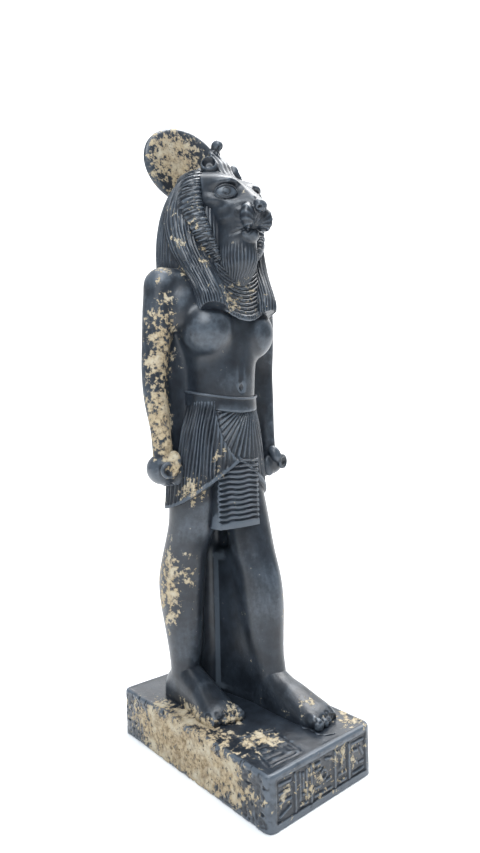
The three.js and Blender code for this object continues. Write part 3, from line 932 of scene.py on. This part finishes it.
def slab(name, front, inward):
    """A closed slab: a grid of points and the same grid pushed inward."""
    rows, columns = front.shape[:2]
    points = np.concatenate([front.reshape(-1, 3), front.reshape(-1, 3) * (1, 1, 0) + (0, 0, inward)])
    back = rows * columns
    faces = []
    for i in range(rows - 1):
        for j in range(columns - 1):
            a = i * columns + j
            faces.append((a, a + 1, a + columns + 1, a + columns))
            faces.append((back + a, back + a + columns, back + a + columns + 1, back + a + 1))
    rim = [j for j in range(columns)] + [i * columns + columns - 1 for i in range(1, rows)]
    rim += [(rows - 1) * columns + j for j in range(columns - 2, -1, -1)] + [i * columns for i in range(rows - 2, 0, -1)]
    for a, b in zip(rim, rim[1:] + rim[:1]):
        faces.append((a, back + a, back + b, b))
    return to_mesh(name, points, faces)


X, Y = np.meshgrid(top_x, top_y)
inside = np.clip((33.3 - np.abs(X)) / 1.5, 0, 1) * np.clip((58.6 - np.abs(Y)) / 1.5, 0, 1)
level = np.stack([X, Y, np.full_like(X, BASE_TOP - 0.01)], -1)
scratch = np.maximum(strokes(X, Y, TOP_LINES, 0.7), strokes(X, Y, TOP_FRAME, 0.5))
level[..., 2] -= inside * (0.32 * scratch + 0.16 * (1 + lumps(level, 4.0, 5)))
base_top = slab("base_top", level, 22.0)


# A thin wavy ridge of old residue lies beside the left foot.
RESIDUE = [(7.6, -31, 25.2), (7.9, -36, 25.3), (6.9, -41, 25.2), (8.1, -46, 25.3), (7.4, -50, 25.2), (9.6, -53.6, 25.2), (13.5, -55.4, 25.1)]


def residue_rule(T, A):
    spot = through(RESIDUE, T)
    width = 0.55 + 0.25 * np.sin(T * 40)
    return np.stack([spot[..., 0] + width * np.cos(A), spot[..., 1], spot[..., 2] + 0.3 * np.sin(A)], -1)


residue = lay("residue", 10, 60, residue_rule)


# All of it is one casting, so the parts are fused into one closed skin.
def fuse(whole, parts):
    deselect_all()
    group = bpy.data.collections.new("to_fuse")
    bpy.context.scene.collection.children.link(group)
    for part in parts:
        for old in part.users_collection:
            old.objects.unlink(part)
        group.objects.link(part)
    finish_modifier(whole, "BOOLEAN", operation="UNION", solver="MANIFOLD", operand_type="COLLECTION", collection=group)
    for part in parts:
        bpy.data.objects.remove(part)
    bpy.data.collections.remove(group)
    return whole


statue = fuse(flesh, [
    base, base_top, residue, left_foot, right_foot, *fists, head, *eyes, *ears, *ruffs, wig, *lappets, collar,
    kilt, belt, tab, disc, crown,
])
statue.name = "statue_cast"


def keep_outer_skin(piece):
    """Drops the slivers of air that the union seals in behind the eyes."""
    lowest = min(piece.data.vertices, key=lambda point: point.co.z).index
    bpy.ops.object.mode_set(mode="EDIT")
    bpy.ops.mesh.select_mode(type="VERT")
    bpy.ops.mesh.select_all(action="DESELECT")
    bpy.ops.object.mode_set(mode="OBJECT")
    piece.data.vertices[lowest].select = True
    bpy.ops.object.mode_set(mode="EDIT")
    bpy.ops.mesh.select_linked()
    bpy.ops.mesh.select_all(action="INVERT")
    bpy.ops.mesh.delete(type="VERT")
    bpy.ops.object.mode_set(mode="OBJECT")


def clear_folds(piece):
    """Drops faces laid on one another, faces that hang by one edge, and loose points."""
    for _ in range(FOLD_ROUNDS):
        uses = Counter(key for face in piece.data.polygons for key in face.edge_keys)
        twins = Counter(frozenset(face.vertices) for face in piece.data.polygons)
        folded = [
            twins[frozenset(face.vertices)] > 1 or min(uses[key] for key in face.edge_keys) == 1
            for face in piece.data.polygons
        ]
        bpy.ops.object.mode_set(mode="EDIT")
        bpy.ops.mesh.select_mode(type="FACE")
        bpy.ops.mesh.select_all(action="DESELECT")
        bpy.ops.object.mode_set(mode="OBJECT")
        piece.data.polygons.foreach_set("select", folded)
        bpy.ops.object.mode_set(mode="EDIT")
        bpy.ops.mesh.delete(type="FACE")
        bpy.ops.mesh.select_mode(type="VERT")
        bpy.ops.mesh.select_all(action="SELECT")
        bpy.ops.mesh.delete_loose()
        bpy.ops.object.mode_set(mode="OBJECT")


MOST_TRIANGLES, FOLD_ROUNDS = 190000, 3
keep_outer_skin(statue)
triangles = sum(len(face.vertices) - 2 for face in statue.data.polygons)
if triangles > MOST_TRIANGLES:
    finish_modifier(statue, "DECIMATE", ratio=MOST_TRIANGLES / triangles)
    clear_folds(statue)


# The finish: black stone polished to a satin sheen, paler on its edges from wear and from a painted highlight,
# with a sandy ochre crust that clings in patches, mostly down her right side and over the base.
OCHRE_PATCHES = [
    # middle, radii, strength
    ((-8, 34, 325), (30, 12, 28), 0.72),
    ((-33, 14, 247), (12, 12, 14), 0.6),
    ((-25, 8, 250), (6, 8, 7), 0.7),
    ((-37, 10, 215), (12, 14, 40), 0.66),
    ((-38, 10, 178), (12, 12, 32), 0.74),
    ((-35, 6, 163), (9, 9, 14), 0.85),
    ((-36, 2, 153), (7, 6, 9), 0.8),
    ((-22, 6, 142), (12, 16, 12), 0.55),
    ((-14, -8, 156), (9, 8, 14), 0.45),
    ((-26, 28, 134), (8, 12, 9), 0.6),
    ((-26, 26, 88), (8, 16, 34), 0.6),
    ((-20, 12, 92), (9, 9, 26), 0.42),
    ((24, -12, 70), (8, 8, 40), 0.5),
    ((18, -30, 30), (14, 24, 12), 0.42),
    ((-16, -8, 27), (16, 14, 7), 0.55),
    ((-30, 0, 26), (14, 60, 7), 0.62),
    ((-16, -36, 25), (18, 14, 6), 0.55),
    ((-36, 0, 13), (6, 70, 20), 0.95),
    ((0, -61, 12), (46, 5, 16), 0.42),
    ((30, -50, 25), (14, 20, 5), 0.4),
    ((-24, 10, 270), (10, 24, 34), 0.34),
    ((-20, 0, 265), (10, 14, 20), 0.42),
    ((0, -12, 240), (26, 14, 14), 0.36),
]


def paint_patches(piece):
    """Stores where the crust lies, and how hollow or proud the surface is, at each point."""
    count = len(piece.data.vertices)
    points = np.empty(count * 3)
    normals = np.empty(count * 3)
    piece.data.vertices.foreach_get("co", points)
    piece.data.vertices.foreach_get("normal", normals)
    points, normals = points.reshape(-1, 3) / MM, normals.reshape(-1, 3)
    ochre = np.zeros(count)
    for middle, radii, strength in OCHRE_PATCHES:
        ochre = np.maximum(ochre, strength * hill(points, middle, radii) ** 0.5)
    rubbed = piece.copy()
    rubbed.data = piece.data.copy()
    bpy.context.collection.objects.link(rubbed)
    finish_modifier(rubbed, "SMOOTH", factor=0.5, iterations=12)
    moved = np.empty(count * 3)
    rubbed.data.vertices.foreach_get("co", moved)
    hollow = ((moved.reshape(-1, 3) / MM - points) * normals).sum(1)
    bpy.data.objects.remove(rubbed)
    for name, values in (("ochre", ochre), ("hollow", np.clip(hollow, -1, 1))):
        layer = piece.data.attributes.new(name, "FLOAT", "POINT")
        layer.data.foreach_set("value", values.astype(np.float32))


paint_patches(statue)


def stone_material():
    material = bpy.data.materials.new("weathered black stone")
    material.use_nodes = True
    tree = material.node_tree
    nodes, links = tree.nodes, tree.links
    shader = nodes["Principled BSDF"]
    place = nodes.new("ShaderNodeTexCoord").outputs["Object"]

    def noise(scale, detail=4.0, roughness=0.6, offset=(0, 0, 0)):
        shift = nodes.new("ShaderNodeMapping")
        shift.inputs["Location"].default_value = offset
        links.new(place, shift.inputs["Vector"])
        node = nodes.new("ShaderNodeTexNoise")
        node.inputs["Scale"].default_value = scale
        node.inputs["Detail"].default_value = detail
        node.inputs["Roughness"].default_value = roughness
        links.new(shift.outputs["Vector"], node.inputs["Vector"])
        return node.outputs["Fac"]

    def maths(kind, a, b=None, clamp=False):
        node = nodes.new("ShaderNodeMath")
        node.operation = kind
        node.use_clamp = clamp
        for socket, value in zip(node.inputs, (a, b)):
            if value is None:
                continue
            if isinstance(value, (int, float)):
                socket.default_value = value
            else:
                links.new(value, socket)
        return node.outputs[0]

    def step(value, low, high):
        node = nodes.new("ShaderNodeMapRange")
        node.interpolation_type = "SMOOTHSTEP"
        node.inputs["From Min"].default_value = low
        node.inputs["From Max"].default_value = high
        links.new(value, node.inputs["Value"])
        return node.outputs["Result"]

    def blend(amount, first, second):
        node = nodes.new("ShaderNodeMix")
        node.data_type = "RGBA"
        if isinstance(amount, float):
            node.inputs["Factor"].default_value = amount
        else:
            links.new(amount, node.inputs["Factor"])
        for socket, value in ((node.inputs["A"], first), (node.inputs["B"], second)):
            if isinstance(value, tuple):
                socket.default_value = (*value, 1)
            else:
                links.new(value, socket)
        return node.outputs["Result"]

    def stored(name):
        node = nodes.new("ShaderNodeAttribute")
        node.attribute_name = name
        return node.outputs["Fac"]

    hollow, ochre = stored("hollow"), stored("ochre")
    broad, fine, grain = noise(120, 5), noise(420, 6, 0.7, (3, 1, 2)), noise(1500, 3, 0.6, (1, 5, 2))
    # the stone: blue-black, paler on its ridges, partly worn there by handling and partly a painted highlight
    stone = blend(step(broad, 0.3, 0.7), (0.009, 0.012, 0.017), (0.021, 0.028, 0.038))
    ridge_wear_and_highlight = step(maths("ADD", maths("MULTIPLY", hollow, -3.0), maths("MULTIPLY", fine, 0.5)), 0.35, 0.9)
    stone = blend(maths("MULTIPLY", ridge_wear_and_highlight, 0.6), stone, (0.11, 0.135, 0.165))
    # the crust: patches broken up by coarse and fine noise
    broken = maths("ADD", maths("MULTIPLY", broad, 0.45), maths("MULTIPLY", fine, 0.55))
    lies = maths("ADD", ochre, maths("MULTIPLY", maths("SUBTRACT", broken, 0.5), 3.4))
    crust = step(lies, 0.44, 0.56)
    crust_colour = blend(step(fine, 0.35, 0.65), (0.17, 0.12, 0.065), (0.42, 0.34, 0.22))
    crust_colour = blend(step(broad, 0.45, 0.75), crust_colour, (0.46, 0.41, 0.31))
    pits = step(noise(700, 2, 0.5, (7, 2, 9)), 0.62, 0.7)
    crust_colour = blend(pits, crust_colour, (0.10, 0.085, 0.065))
    colour = blend(crust, stone, crust_colour)
    links.new(colour, shader.inputs["Base Color"])
    gloss = maths("ADD", maths("MULTIPLY", fine, 0.22), 0.22)
    rough = nodes.new("ShaderNodeMix")
    links.new(crust, rough.inputs["Factor"])
    links.new(gloss, rough.inputs["A"])
    rough.inputs["B"].default_value = 0.85
    links.new(rough.outputs["Result"], shader.inputs["Roughness"])
    height = maths("ADD", maths("MULTIPLY", crust, 0.5), maths("MULTIPLY", fine, 0.35))
    height = maths("ADD", height, maths("MULTIPLY", grain, 0.12))
    height = maths("SUBTRACT", height, maths("MULTIPLY", maths("MULTIPLY", pits, crust), 0.4))
    bump = nodes.new("ShaderNodeBump")
    bump.inputs["Strength"].default_value = 0.55
    bump.inputs["Distance"].default_value = 0.0005
    links.new(height, bump.inputs["Height"])
    links.new(bump.outputs["Normal"], shader.inputs["Normal"])
    return material


statue.data.materials.clear()
statue.data.materials.append(stone_material())
deselect_all()
statue.select_set(True)
bpy.context.view_layer.objects.active = statue
bpy.ops.object.shade_smooth_by_angle(angle=radians(38))
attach(statue, "root")
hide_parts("statue")
